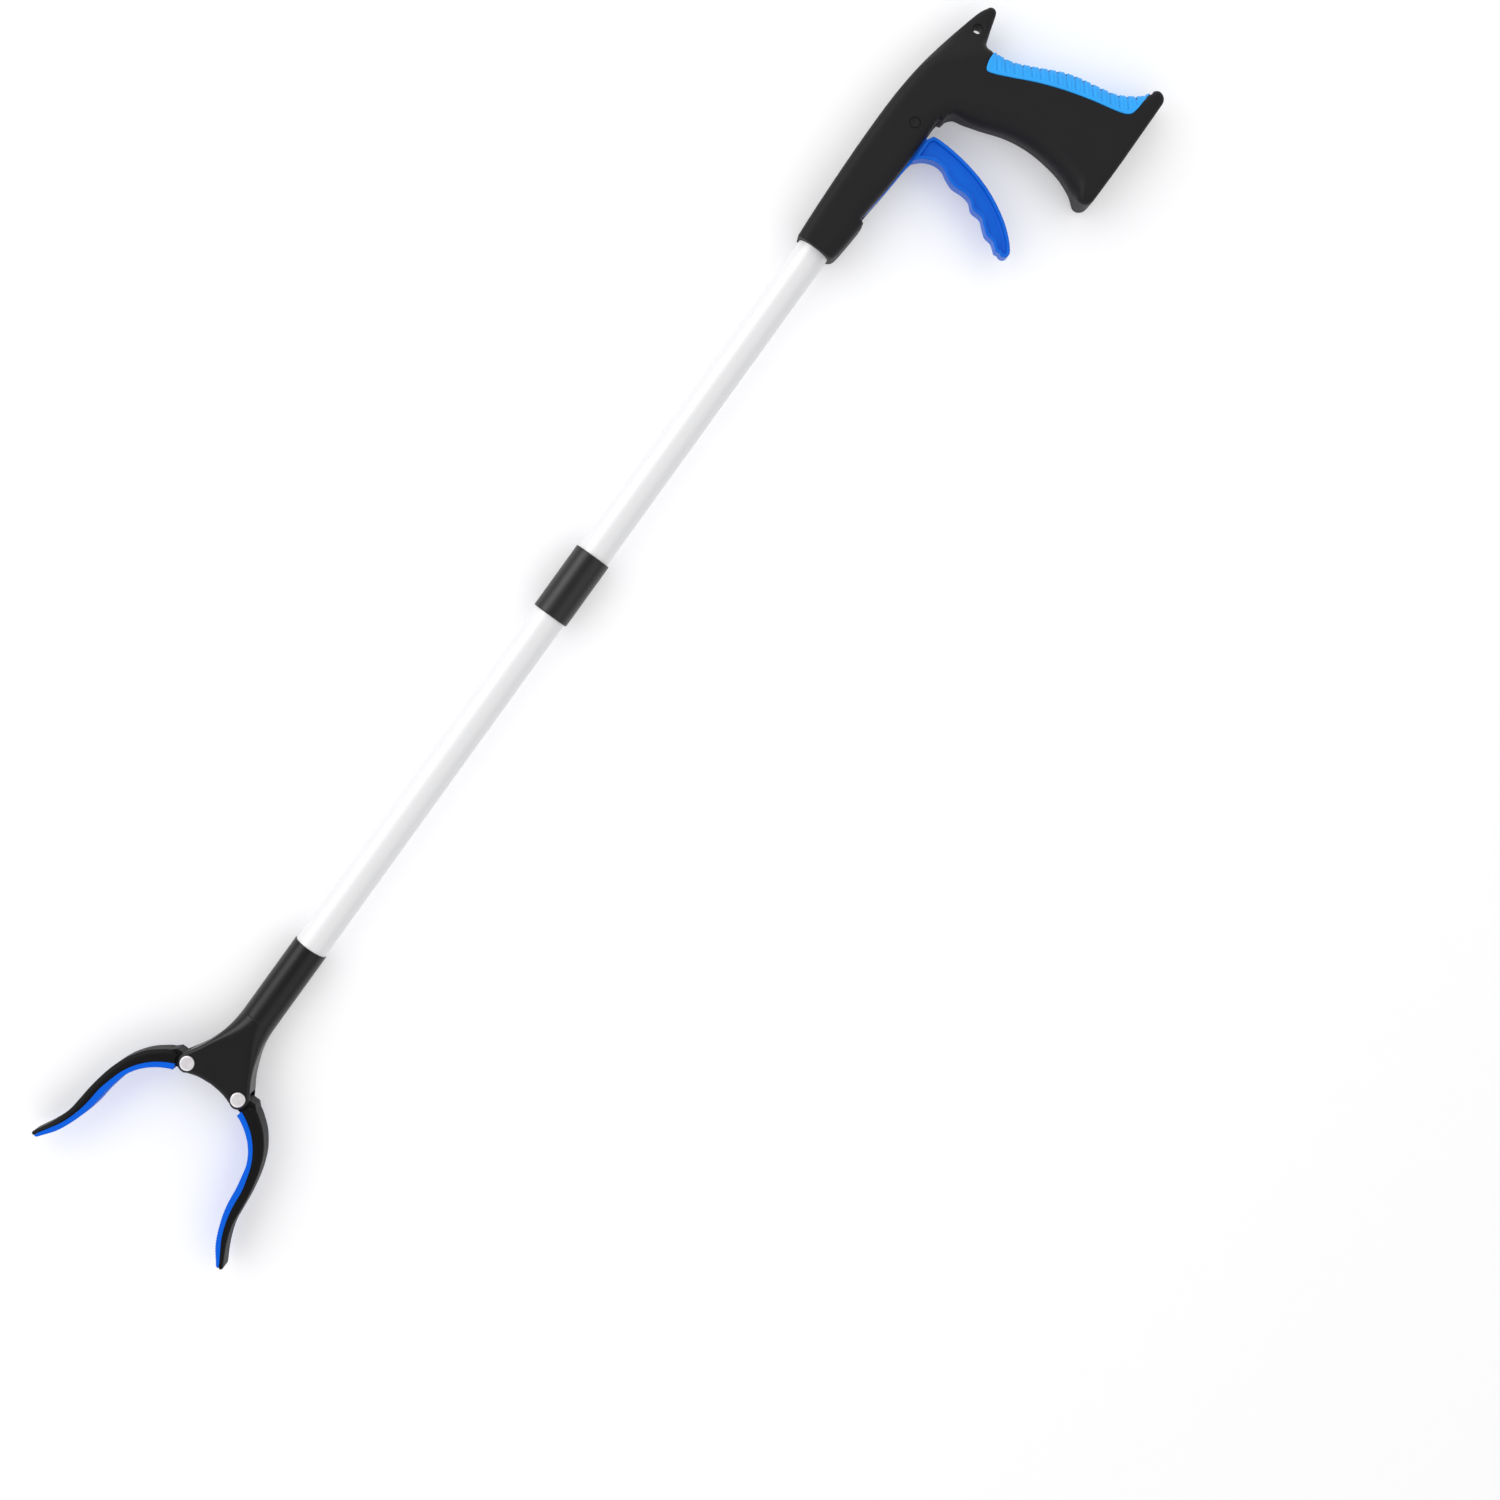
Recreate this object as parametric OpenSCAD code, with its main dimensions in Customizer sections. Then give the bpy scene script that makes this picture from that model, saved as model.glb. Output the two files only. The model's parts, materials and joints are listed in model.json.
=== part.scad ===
// Folding-pole reacher grabber, lying on its side. All sizes in millimetres.
// x runs along the pole towards the jaws, y towards the grip, z up from the resting face.
// The pole's axis is y = 0, z = 0 while modelling; the handle's lower rim is x = 0.

/* [Pole] */
// Outside diameter of the two tubes
tube_d = 18.5; // [17.5:0.1:18.6]
// Wall thickness of the tubes
tube_wall = 1; // [0.8:0.1:1.2]
// Distance from the handle's rim to the middle of the fold joint
joint_x = 223.2; // [200:1:260]
// Outside diameter of the lock sleeve
sleeve_d = 21.2; // [21:0.1:24]
// Length of the lock sleeve
sleeve_len = 40; // [36:1:50]
// Free gap between the tube ends under the sleeve
fold_gap = 12; // [10:0.5:14]

/* [Handle] */
// Thickness of the handle, side to side
handle_w = 28; // [26.5:0.5:30]
// Thickness of the lanyard tab
tab_w = 13.6; // [11:0.1:16]
// Diameter of the lanyard hole
lanyard_d = 5.5; // [4:0.1:6.5]
// Depth of the pad over the grip
pad_depth = 3; // [2:0.1:3.5]
// Thickness of the pad's skirts on both sides
pad_skirt = 3.5; // [3:0.1:4]
// Depth that the tube goes into the handle
tube_seat = 27.5; // [20:0.5:27.5]

/* [Trigger] */
// Width of the finger lever
trigger_w = 12; // [10:0.5:16]
// Thickness of the trigger's web
web_t = 5; // [4:0.1:6]
// Depth of the recess in each side of the lever
recess_depth = 3.4; // [2:0.1:3.5]
// Diameter of the trigger's pivot pin
pivot_d = 5; // [4:0.1:5]

/* [Head] */
// Outside diameter of the collar
collar_d = 20; // [19.8:0.1:22]
// Thickness of each cheek over the jaws
cheek_t = 2.4; // [2:0.1:2.6]
// Half the distance between the jaw pivots
pivot_half = 16.9; // [16.5:0.1:17.5]
// Width of the jaws
jaw_w = 18; // [16:0.5:20]
// Diameter of the rivet heads
rivet_head_d = 8.2; // [7:0.1:9]
// Turn of each jaw from open to closed in degrees
jaw_swing = 39; // [30:0.5:39]
// Travel of the crosshead
stroke = 12; // [10:0.5:12]

/* [Hidden] */
$fn = 48;

black = [0.13, 0.13, 0.14];
blue = [0.04, 0.38, 0.85];
pad_blue = [0.15, 0.6, 0.97];
steel = [0.75, 0.75, 0.78];

// ---- ends of the whole object, which set its frame
grip_end_x = -179.3;
grip_end_y = 108;
jaw_tip_x = 635.3;
jaw_side_y = 63.6;
frame_x = -(grip_end_x + jaw_tip_x) / 2;
frame_y = -(grip_end_y - jaw_side_y) / 2;
half_w = handle_w / 2;

// ---- fits
fit = 0.05;
press = 0.02;
gap = 0.1;
side_gap = 0.4;

// ---- handle
wall = 2.6;
edge_r = 6;
edge_steps = 4;
tab_slope = 0.72;
bore_r = tube_d / 2 + fit;
peg_r = 2;
peg_x = -15;
slot_half = web_t / 2 + side_gap;
lanyard_at = [-150.4, 2.7];
boss_r = 3.6;
screw_r = 1.5;
screw_head_r = 3;
screw_head_t = 2.6;
screw_recess = 4;
screw_tip_z = 7.5;
drive_cut = [3.4, 0.8, 1.6];
cable_way_r = 1.6;
pivot_boss_r = 5.2;
pivot_ring_r = 3.2;
pivot_ring_depth = 0.4;
axle_boss_r = 3;
screw_at = [[-36, -7.5], [-109, -5], [-131, 38], [-136, 98]];

// ---- trigger and cable
pivot_at = [-87.7, 5];
roller_at = [-59.4, 3.8];
groove_r = 3.2;
flange_r = 4.6;
cable_r = 0.6;
groove_half = 0.7;
flange_half = 1.6;
roller_w = 5;
axle_r = 1.25;
axle_half = 8.8;
rim_w = 1.8;
anchor_at = [-63.8, 8.9];
anchor_r = 1.2;

// ---- head
jaw_pivot_x = 554.2;
collar_x = 466;
tube_end_x = 507;
bulkhead_t = 3.5;
chamber_r = 7.2;
chamber_x = tube_end_x + bulkhead_t;
head_half = collar_d / 2;
cheek_in = head_half - cheek_t;
rivet_r = 2;
eye_r = 5.4;
eye_half = cheek_in - 0.4;
pin_open_x = 549.9;
pin_r = 1.5;
arm_half = 3.5;
arm_in = 0.4;
arm_out = 3.4;
ear_in = 3.8;
ear_out = 6.4;
spring_r = 5.6;
wire_r = 0.55;
coils = 7;
head_top_x = pin_open_x - 7.5;
slider_len = 5;
spring_len = head_top_x - slider_len - chamber_x;
ear_drop = 5;
ear_w = 6.8;
ferrule_r = 2;
ferrule_len = 2.6;
button_t = 0.9;
button_rise = 1.5;
button_step = 0.7;
eye_room_r = 6.7;

// ---- fold hinge under the sleeve
plug_len = 16;
ear_half = 2.2;
ear_size = [5, 5.6, 4.4];
link_at = [3.6, 5];
link_half = 4;
link_r = 2.1;
hinge_pin_r = 1.25;
hinge_pin_half = 4.6;
plug_bore_r = 1.5;

// A Catmull-Rom curve through the points p, with n steps between neighbours
function blend_at(a, b, c, d, t) =
  0.5 * (2 * b + (c - a) * t + (2 * a - 5 * b + 4 * c - d) * t * t
    + (3 * b - a - 3 * c + d) * t * t * t);
function curve(p, n = 5) = [
  for (i = [0:len(p) - 2], j = [0:n - 1])
    blend_at(p[max(i - 1, 0)], p[i], p[i + 1], p[min(i + 2, len(p) - 1)], j / n),
  p[len(p) - 1]
];
function arc(c, r, a0, a1, n = 8) = [
  for (i = [0:n]) let (a = a0 + (a1 - a0) * i / n) c + r * [cos(a), sin(a)]
];
function turn(p, a) = [p.x * cos(a) - p.y * sin(a), p.x * sin(a) + p.y * cos(a)];

// ---- handle outlines
spine = curve([[-2, -10.4], [-5, -11.2], [-30, -12.5], [-66, -13.5], [-99, -13], [-129, -9.4],
  [-155, -3.5], [-162.5, -0.6]]);
tab_tip = arc([-162.4, 2.9], 3.1, 260, 100);
tab_side = curve([[-161, 6.6], [-150.4, 9.8], [-145.5, 12], [-144.7, 16.5]]);
grip_top = curve([[-145, 17], [-147, 26.5], [-153, 40], [-160.5, 56.7], [-164, 73],
  [-166.5, 84], [-172, 93.5], [-176.6, 98.4]]);
grip_end = concat(arc([-174.3, 102.5], 5, 215, 90, 6), curve([[-152, 107.8], [-132, 108],
  [-112.5, 107.8]]), arc([-110.2, 102.7], 5, 85, -35, 6));
grip_under = curve([[-107.5, 97], [-112.7, 84], [-115, 66], [-113.4, 50], [-108.5, 35],
  [-106.3, 26], [-105.5, 20], [-102.5, 17]]);
barrel_front = concat([[-98.6, 16.3], [-98.1, 14.2], [-95, 13.9]], curve([[-91, 14], [-70, 14],
  [-53, 13.4], [-37.5, 12], [-29.4, 11.5]]), [[-28.4, 13.8]], curve([[-25, 14], [-11, 13],
  [-4.5, 12.1], [-2, 10.4]]));
handle_outline = concat(spine, tab_tip, tab_side, grip_top, grip_end, grip_under, barrel_front);
pad_lower = curve([[-138, 17.6], [-133.4, 19.6], [-134, 24], [-137.7, 32.6], [-143.7, 45.5],
  [-149, 60], [-153.5, 76], [-156.8, 91], [-159.5, 96.5], [-164, 98]]);
pad_zone = concat([[-150, 17]], pad_lower, [[-180, 98], [-180, 50], [-160, 25]]);
barrel_room = [[-112, -8], [-tube_seat - 1, -9.8], [-tube_seat - 1, 8.8], [-50, 10.4], [-99, 11.4],
  [-112, 11.4]];
grip_room = [[-111, 11], [-121, 62], [-117, 98], [-149, 98], [-144, 62], [-129, 22], [-124, 11]];
trigger_slot = [[-98.2, 8], [-98.2, 20], [-29.5, 20], [-29.5, 8]];

// ---- trigger outlines
lever_top = curve([[-89.5, 17], [-90, 22], [-89.3, 33], [-87.3, 45], [-84, 56.5], [-79.3, 67],
  [-73.5, 76.5], [-67.5, 83.5], [-63.2, 87.2]]);
lever_tip = arc([-61.1, 85], 2.9, 130, -40, 6);
lever_under = curve([[-58.6, 80.8], [-60.4, 78.6], [-62.2, 76], [-63, 71.5], [-66, 67.5],
  [-69.1, 63.5], [-69.7, 57.5], [-73.3, 53], [-74.3, 48], [-74.1, 41.5], [-76.1, 36], [-78.7, 31],
  [-78.7, 25], [-76.2, 19.5], [-72.2, 15.4]]);
lever_outline = concat([[-86, 15.2]], lever_top, lever_tip, lever_under);
web_outline = concat([[-89, 17], [-94.5, 9], [-94.5, 1], [-90, -2], [-83, -1.5], [-76, 5.8],
  [-66, 5.8], [-64, 7.1], [-60, 9.4], [-32, 9.4], [-31.5, 11.2]],
  curve([[-34, 11.6], [-39, 12.5], [-53, 14.2], [-66, 15], [-74, 16.2]]));
cable_slot = [[-66, 4], [-61, 4], [-61, 10.4], [-66, 10.4]];

// ---- head outlines, for the half with y above 0
flare = curve([[512, 10], [518, 10.1], [524.1, 10.7], [530.3, 12.1], [537, 14.3], [542.9, 17],
  [548, 20.1]]);
cheek_corner = arc([jaw_pivot_x, pivot_half], 5.9, 125, -10, 9);
cheek_bottom = curve([[559, 14], [557.2, 8], [556.4, 0]]);
head_half_outline = concat([[511, 0]], flare, cheek_corner, cheek_bottom);
arm_room = [[chamber_x + 13, 0], [chamber_x + 13, 8.4], [531, 9.8], [537, 11.8], [543, 14.4],
  [548, 18.4], [550, 30], [570, 30], [570, 0]];

// ---- jaw outlines, for the jaw with y above 0
jaw_outer = curve([[553.6, 24.3], [553.3, 26.4], [554.5, 29.6], [556.8, 33], [560.8, 37.9],
  [565.3, 41.8], [570.3, 45.1], [575.8, 47.6], [583.6, 50.1], [594.5, 52.2], [605, 53.3], [611.7, 54.1],
  [618.7, 56.2], [625.4, 59.1], [631, 62.1]]);
jaw_tip = arc([634.1, 62.4], 1.2, 118, -50, 5);
jaw_seam = curve([[634.7, 61.5], [632, 60.4], [626.6, 57.1], [619.7, 53.2], [611.3, 50.2],
  [602.9, 48.5], [593.9, 47.6], [586.4, 45.8], [578.9, 43.3], [571.6, 39.1], [565.4, 33.4],
  [561.1, 27.3], [558.6, 22.3]]);
liner_in = curve([[634.9, 60.9], [634.6, 59.9], [632.6, 58.2], [626, 53.2], [618.9, 49.7],
  [610.6, 46.8], [602.4, 45], [594.3, 44.1], [586.1, 42.5], [580.6, 41.1], [575.2, 38.3],
  [570.6, 34.6], [566.5, 29.8], [563.4, 24.7], [561.8, 21]]);
jaw_outline = concat([[551, 21.5]], jaw_outer, jaw_tip, jaw_seam);
function reversed(p) = [for (i = [len(p) - 1:-1:0]) p[i]];
liner_outline = concat([for (p = jaw_seam) p + [0.05, -0.08]], reversed(liner_in));

// Where the crosshead's pin sits in the jaw's own frame when the crosshead has moved by s
function cam_at(s) =
  [jaw_pivot_x, pivot_half] + turn([pin_open_x - s - jaw_pivot_x, -pivot_half], jaw_swing * s / stroke);
function cam_normal(s) = let (d = cam_at(s + 0.01) - cam_at(s - 0.01)) [-d.y, d.x] / norm(d);
cam_steps = [for (i = [0:16]) stroke * i / 16];
slot_r = pin_r + fit;
cam_slot = concat([for (s = cam_steps) cam_at(s) + slot_r * cam_normal(s)],
  reversed([for (s = cam_steps) cam_at(s) - slot_r * cam_normal(s)]));

module placed() { translate([frame_x, frame_y, half_w]) children(); }
module slab(z0, z1) { translate([0, 0, z0]) linear_extrude(z1 - z0) children(); }
module on_x(x0, x1, r) { translate([x0, 0, 0]) rotate([0, 90, 0]) cylinder(h = x1 - x0, r = r); }
module post(at, z0, z1, r) { translate([at.x, at.y, z0]) cylinder(h = z1 - z0, r = r); }

// ---- handle
// Half of the handle's outer form, with its round edge in steps
module outer_body() {
  slab(0, half_w - edge_r) polygon(handle_outline);
  for (i = [1:edge_steps]) let (a = 90 * i / edge_steps)
    slab(half_w - edge_r - 1, half_w - edge_r * (1 - sin(a)))
      offset(delta = -edge_r * (1 - cos(a))) polygon(handle_outline);
}
module tongue(inset, half) { slab(-half, half) offset(delta = -inset) polygon(handle_outline); }
module pad_space() { slab(-half_w - 1, half_w + 1) polygon(pad_zone); }

// Slanted plane that thins the lanyard tab, above the mid-plane
module tab_cut() {
  drop = half_w - tab_w / 2;
  translate([-121, -6.3, half_w]) rotate([0, 0, 226])
    rotate([90, 0, 0]) linear_extrude(120, center = true)
      polygon([[0, 1], [0, 0], [drop / tab_slope, -drop], [80, -drop], [80, 1]]);
}
module half_shell() {
  difference() {
    union() {
      difference() {
        outer_body();
        tab_cut();
        difference() { pad_space(); tongue(pad_depth + gap, half_w - pad_skirt - gap); }
        slab(-1, half_w - wall) polygon(barrel_room);
        slab(-1, half_w - pad_skirt - wall) polygon(grip_room);
      }
      for (at = screw_at) post(at, 0, half_w - wall, boss_r);
      post(pivot_at, web_t / 2 + side_gap, half_w - wall, pivot_boss_r);
      post(roller_at, roller_w / 2 + side_gap, half_w - wall, axle_boss_r);
    }
    on_x(-tube_seat - fit, 5, bore_r);
    on_x(pivot_at.x, 0, cable_way_r);
    slab(-1, slot_half) polygon(trigger_slot);
    post(roller_at, -1, axle_half + gap, axle_r + press);
    post(lanyard_at, -1, half_w + 1, lanyard_d / 2);
  }
  post([peg_x, 0], tube_d / 2 - tube_wall - gap, half_w - wall, peg_r);
}
module housing_near() {
  color(black) placed() difference() {
    half_shell();
    for (at = screw_at) post(at, -1, screw_tip_z + 0.5, screw_r + press);
    post(pivot_at, -1, half_w + 1, pivot_d / 2 + press);
    post(pivot_at, half_w - pivot_ring_depth, half_w + 1, pivot_ring_r);
  }
}
module housing_far() {
  color(black) placed() difference() {
    mirror([0, 0, 1]) half_shell();
    for (at = screw_at) {
      post(at, -half_w - 1, 1, screw_r + press);
      post(at, -half_w - 1, -half_w + screw_recess, screw_head_r + 2 * gap);
    }
    post(pivot_at, -half_w + wall - gap, 1, pivot_d / 2 + press);
  }
}
module grip_pad() {
  color(pad_blue) placed() difference() {
    intersection() {
      union() { outer_body(); mirror([0, 0, 1]) outer_body(); }
      pad_space();
    }
    tongue(pad_depth, half_w - pad_skirt);
  }
}
module housing_screws() {
  color(steel) placed() for (at = screw_at) {
    head_z = screw_recess - half_w;
    post(at, head_z - 1, screw_tip_z, screw_r);
    difference() {
      post(at, head_z - screw_head_t, head_z, screw_head_r);
      for (a = [0, 90]) translate([at.x, at.y, head_z - screw_head_t]) rotate([0, 0, a])
        cube(drive_cut, center = true);
    }
  }
}

// ---- trigger and cable guide
module trigger() {
  color(blue) placed() difference() {
    union() {
      slab(-trigger_w / 2, trigger_w / 2) polygon(lever_outline);
      slab(-web_t / 2, web_t / 2) polygon(web_outline);
    }
    for (side = [0, 1]) mirror([0, 0, side])
      slab(trigger_w / 2 - recess_depth, trigger_w / 2 + 1) offset(delta = -rim_w)
        polygon(lever_outline);
    post(pivot_at, -web_t, web_t, pivot_d / 2 + fit);
    post(anchor_at, -web_t, web_t, anchor_r + press);
    slab(-cable_r - side_gap, cable_r + side_gap) polygon(cable_slot);
  }
}
module trigger_pin() {
  color(steel) placed() post(pivot_at, -half_w + wall, half_w - 2 * pivot_ring_depth, pivot_d / 2);
}
module guide_roller() {
  color([0.85, 0.85, 0.82]) placed() translate([roller_at.x, roller_at.y, 0]) difference() {
    rotate_extrude() polygon([[0, -roller_w / 2], [flange_r, -roller_w / 2],
      [flange_r, -flange_half], [groove_r, -groove_half], [groove_r, groove_half],
      [flange_r, flange_half], [flange_r, roller_w / 2], [0, roller_w / 2]]);
    cylinder(h = roller_w + 2, r = axle_r + fit, center = true);
  }
}
module roller_pin() { color(steel) placed() post(roller_at, -axle_half, axle_half, axle_r); }
module cable_anchor() { color(steel) placed() post(anchor_at, -web_t / 2, web_t / 2, anchor_r); }
module cable_tail() {
  turn_r = groove_r + cable_r;
  color(steel) placed() {
    translate([roller_at.x, roller_at.y, 0]) rotate([0, 0, 180])
      rotate_extrude(angle = 90) translate([turn_r, 0]) circle(cable_r);
    translate([roller_at.x - turn_r, roller_at.y, 0]) rotate([-90, 0, 0])
      cylinder(h = anchor_at.y - anchor_r - roller_at.y - gap, r = cable_r);
  }
}

// ---- pole
module tube(x0, x1) {
  difference() {
    on_x(x0, x1, tube_d / 2);
    on_x(x0 - 1, x1 + 1, tube_d / 2 - tube_wall);
  }
}
module upper_tube() {
  color([0.9, 0.91, 0.93]) placed() difference() {
    tube(-tube_seat, joint_x - fold_gap / 2);
    post([peg_x, 0], -tube_d, tube_d, peg_r + fit);
  }
}
module lower_tube() {
  color([0.9, 0.91, 0.93]) placed() tube(joint_x + fold_gap / 2, tube_end_x);
}
// Plug that fills a tube's end and carries one ear of the fold hinge, for the upper tube
module hinge_plug() {
  plug_r = tube_d / 2 - tube_wall - fit;
  end_x = joint_x - fold_gap / 2;
  difference() {
    union() {
      on_x(end_x - plug_len, end_x, plug_r);
      translate([end_x - 1, ear_half, -ear_half]) cube(ear_size);
    }
    on_x(end_x - plug_len - 1, joint_x, plug_bore_r);
    post([joint_x - link_at.x, link_at.y], -link_half, link_half, hinge_pin_r + fit);
  }
}
module hinge_plug_upper() { color(black) placed() hinge_plug(); }
module hinge_plug_lower() {
  color(black) placed() translate([2 * joint_x, 0, 0]) mirror([1, 0, 0]) hinge_plug();
}
module link_post(s, z0, z1, r) { post([joint_x + s * link_at.x, link_at.y], z0, z1, r); }
module hinge_links() {
  color(steel) placed() for (side = [0, 1]) mirror([0, 0, side]) difference() {
    hull() for (s = [-1, 1]) link_post(s, ear_half + 2 * gap, link_half, link_r);
    for (s = [-1, 1]) link_post(s, 0, hinge_pin_half, hinge_pin_r + press);
  }
}
module hinge_pins() {
  color(steel) placed() for (s = [-1, 1]) link_post(s, -hinge_pin_half, hinge_pin_half, hinge_pin_r);
}
module joint_sleeve() {
  color(black) placed() difference() {
    on_x(joint_x - sleeve_len / 2, joint_x + sleeve_len / 2, sleeve_d / 2);
    on_x(joint_x - sleeve_len, joint_x + sleeve_len, tube_d / 2 + fit);
  }
}

// ---- head
module both_halves() { children(); mirror([0, 1, 0]) children(); }
module head_housing() {
  color(black) placed() difference() {
    union() {
      on_x(collar_x, chamber_x + 14, head_half);
      slab(-head_half, head_half) both_halves() polygon(head_half_outline);
    }
    on_x(collar_x - 1, tube_end_x, tube_d / 2 + fit);
    on_x(collar_x, chamber_x + 1, 2 * cable_r);
    on_x(chamber_x, chamber_x + 20, chamber_r);
    slab(-cheek_in, cheek_in) both_halves() polygon(arm_room);
    for (s = [-1, 1]) post([jaw_pivot_x, s * pivot_half], -jaw_w, jaw_w, rivet_r + press);
  }
}
module jaw_rivets() {
  color(steel) placed() for (s = [-1, 1]) {
    at = [jaw_pivot_x, s * pivot_half];
    post(at, -head_half, head_half, rivet_r);
    for (side = [0, 1]) mirror([0, 0, side]) {
      post(at, head_half, head_half + button_t, rivet_head_d / 2);
      post(at, head_half + button_t, head_half + button_rise, rivet_head_d / 2 - button_step);
    }
  }
}
// Jaw with y above 0: wide finger, eye on the rivet and a slotted arm in its own layer
module jaw(layer) {
  pivot = [jaw_pivot_x, pivot_half];
  reach = cam_at(stroke);
  difference() {
    union() {
      difference() {
        slab(-jaw_w / 2, jaw_w / 2) polygon(jaw_outline);
        for (side = [0, 1]) mirror([0, 0, side]) slab(eye_half, jaw_w) {
          translate(pivot) circle(eye_room_r);
          polygon([[540, 10], [540, 23.6], [556, 23.6], [560, 10]]);
        }
      }
      post(pivot, -eye_half, eye_half, eye_r);
      mirror([0, 0, layer]) slab(arm_in, arm_out) hull() {
        translate(pivot) circle(arm_half + 1);
        translate(cam_at(0)) circle(arm_half);
        translate(reach) circle(arm_half);
      }
    }
    post(pivot, -jaw_w, jaw_w, rivet_r + fit);
    slab(-jaw_w, jaw_w) polygon(cam_slot);
    for (s = [0, stroke]) post(cam_at(s), -jaw_w, jaw_w, slot_r);
  }
}
module liner() {
  difference() {
    slab(-jaw_w / 2, jaw_w / 2) polygon(liner_outline);
    post([jaw_pivot_x, pivot_half], -jaw_w, jaw_w, eye_room_r + 3 * gap);
  }
}
module jaw_right() { color(black) placed() jaw(0); }
module jaw_left() { color(black) placed() mirror([0, 1, 0]) jaw(1); }
module liner_right() { color(blue) placed() liner(); }
module liner_left() { color(blue) placed() mirror([0, 1, 0]) liner(); }

module crosshead() {
  color([0.8, 0.8, 0.78]) placed() difference() {
    union() {
      on_x(head_top_x - slider_len, head_top_x, chamber_r - 3 * gap);
      for (side = [0, 1]) mirror([0, 0, side]) translate([head_top_x - 2, -ear_w / 2, ear_in])
        cube([pin_open_x - head_top_x + ear_drop, ear_w, ear_out - ear_in]);
    }
    on_x(head_top_x - slider_len - 1, head_top_x + 1, cable_r + 2 * gap);
    on_x(head_top_x - ferrule_len, head_top_x + 1, ferrule_r);
    post([pin_open_x, 0], -jaw_w, jaw_w, pin_r + press);
  }
}
module crosshead_pin() { color(steel) placed() post([pin_open_x, 0], -ear_out, ear_out, pin_r); }
module pull_cable() {
  color(steel) placed() on_x(roller_at.x, head_top_x - ferrule_len + 2 * gap, cable_r);
}
module cable_ferrule() {
  color(steel) placed() difference() {
    on_x(head_top_x - ferrule_len + gap, head_top_x - 2 * gap, ferrule_r - gap);
    on_x(head_top_x - ferrule_len, head_top_x - ferrule_len + 2 * gap, cable_r);
  }
}

// Helical spring swept as rings of six points
module return_spring() {
  ring = 6;
  steps = coils * 18;
  free = spring_len - 2 * (wire_r + gap);
  pts = [for (i = [0:steps], k = [0:ring - 1])
    let (a = i * 20, b = k * 60, r = spring_r + wire_r * cos(b))
      [chamber_x + wire_r + gap + free * i / steps + wire_r * sin(b), r * cos(a), r * sin(a)]];
  sides = [for (i = [0:steps - 1], k = [0:ring - 1])
    let (a = i * ring + k, b = i * ring + (k + 1) % ring)
      each [[a, a + ring, b], [b, a + ring, b + ring]]];
  caps = [[for (k = [0:ring - 1]) k], [for (k = [ring - 1:-1:0]) steps * ring + k]];
  color(steel) placed() polyhedron(pts, concat(sides, caps));
}

housing_near();
housing_far();
grip_pad();
housing_screws();
trigger();
trigger_pin();
guide_roller();
roller_pin();
cable_anchor();
upper_tube();
lower_tube();
hinge_plug_upper();
hinge_plug_lower();
hinge_links();
hinge_pins();
joint_sleeve();
head_housing();
jaw_rivets();
jaw_left();
jaw_right();
liner_left();
liner_right();
crosshead();
crosshead_pin();
pull_cable();
cable_ferrule();
cable_tail();
return_spring();
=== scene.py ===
import json
import math

import bmesh
import bpy
import numpy as np
from mathutils import Matrix, Vector
from mathutils.geometry import delaunay_2d_cdt


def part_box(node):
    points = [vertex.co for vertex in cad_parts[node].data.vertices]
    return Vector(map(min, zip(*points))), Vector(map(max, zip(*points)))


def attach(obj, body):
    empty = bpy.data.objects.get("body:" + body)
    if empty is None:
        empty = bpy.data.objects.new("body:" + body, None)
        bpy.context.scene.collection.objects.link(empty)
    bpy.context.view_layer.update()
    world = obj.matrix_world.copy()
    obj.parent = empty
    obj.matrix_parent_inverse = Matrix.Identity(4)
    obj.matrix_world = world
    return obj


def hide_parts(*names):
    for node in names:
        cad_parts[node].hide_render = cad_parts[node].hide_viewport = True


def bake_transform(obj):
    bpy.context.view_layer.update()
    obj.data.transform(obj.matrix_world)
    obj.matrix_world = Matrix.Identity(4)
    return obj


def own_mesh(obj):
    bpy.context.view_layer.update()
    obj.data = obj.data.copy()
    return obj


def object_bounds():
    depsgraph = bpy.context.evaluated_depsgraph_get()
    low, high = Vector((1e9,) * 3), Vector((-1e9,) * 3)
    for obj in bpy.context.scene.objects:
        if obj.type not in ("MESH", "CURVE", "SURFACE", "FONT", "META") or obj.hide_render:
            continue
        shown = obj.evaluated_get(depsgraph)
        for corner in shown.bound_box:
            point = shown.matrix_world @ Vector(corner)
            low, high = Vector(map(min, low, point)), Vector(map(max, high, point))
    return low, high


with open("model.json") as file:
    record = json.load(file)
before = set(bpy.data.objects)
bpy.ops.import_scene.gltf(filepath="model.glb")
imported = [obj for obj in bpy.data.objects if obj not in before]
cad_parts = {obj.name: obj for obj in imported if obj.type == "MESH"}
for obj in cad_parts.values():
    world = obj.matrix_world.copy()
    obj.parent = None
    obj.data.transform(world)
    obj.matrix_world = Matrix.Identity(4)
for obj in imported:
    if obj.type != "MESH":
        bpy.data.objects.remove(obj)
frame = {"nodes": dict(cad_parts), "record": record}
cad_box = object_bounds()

# Shapes are drawn in millimetres in the pole's own axes: x runs from the handle's front rim to
# the jaws, y towards the grip, z up from the mid-plane. ORIGIN is where these axes start, in
# metres in the frame of the CAD.
MM = 0.001
TUBE_SEAT = 27.5    # how much of the upper tube is behind ORIGIN, inside the handle
tube_low, tube_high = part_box("upper_tube")
ORIGIN = Vector((tube_low.x + TUBE_SEAT * MM, (tube_low.y + tube_high.y) / 2,
                 (tube_low.z + tube_high.z) / 2))


def half_height(node):
    """How far a CAD node rises above the mid-plane."""
    return (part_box(node)[1].z - ORIGIN.z) / MM


def half_width(node):
    low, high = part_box(node)
    return (high.y - low.y) / 2 / MM


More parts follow.
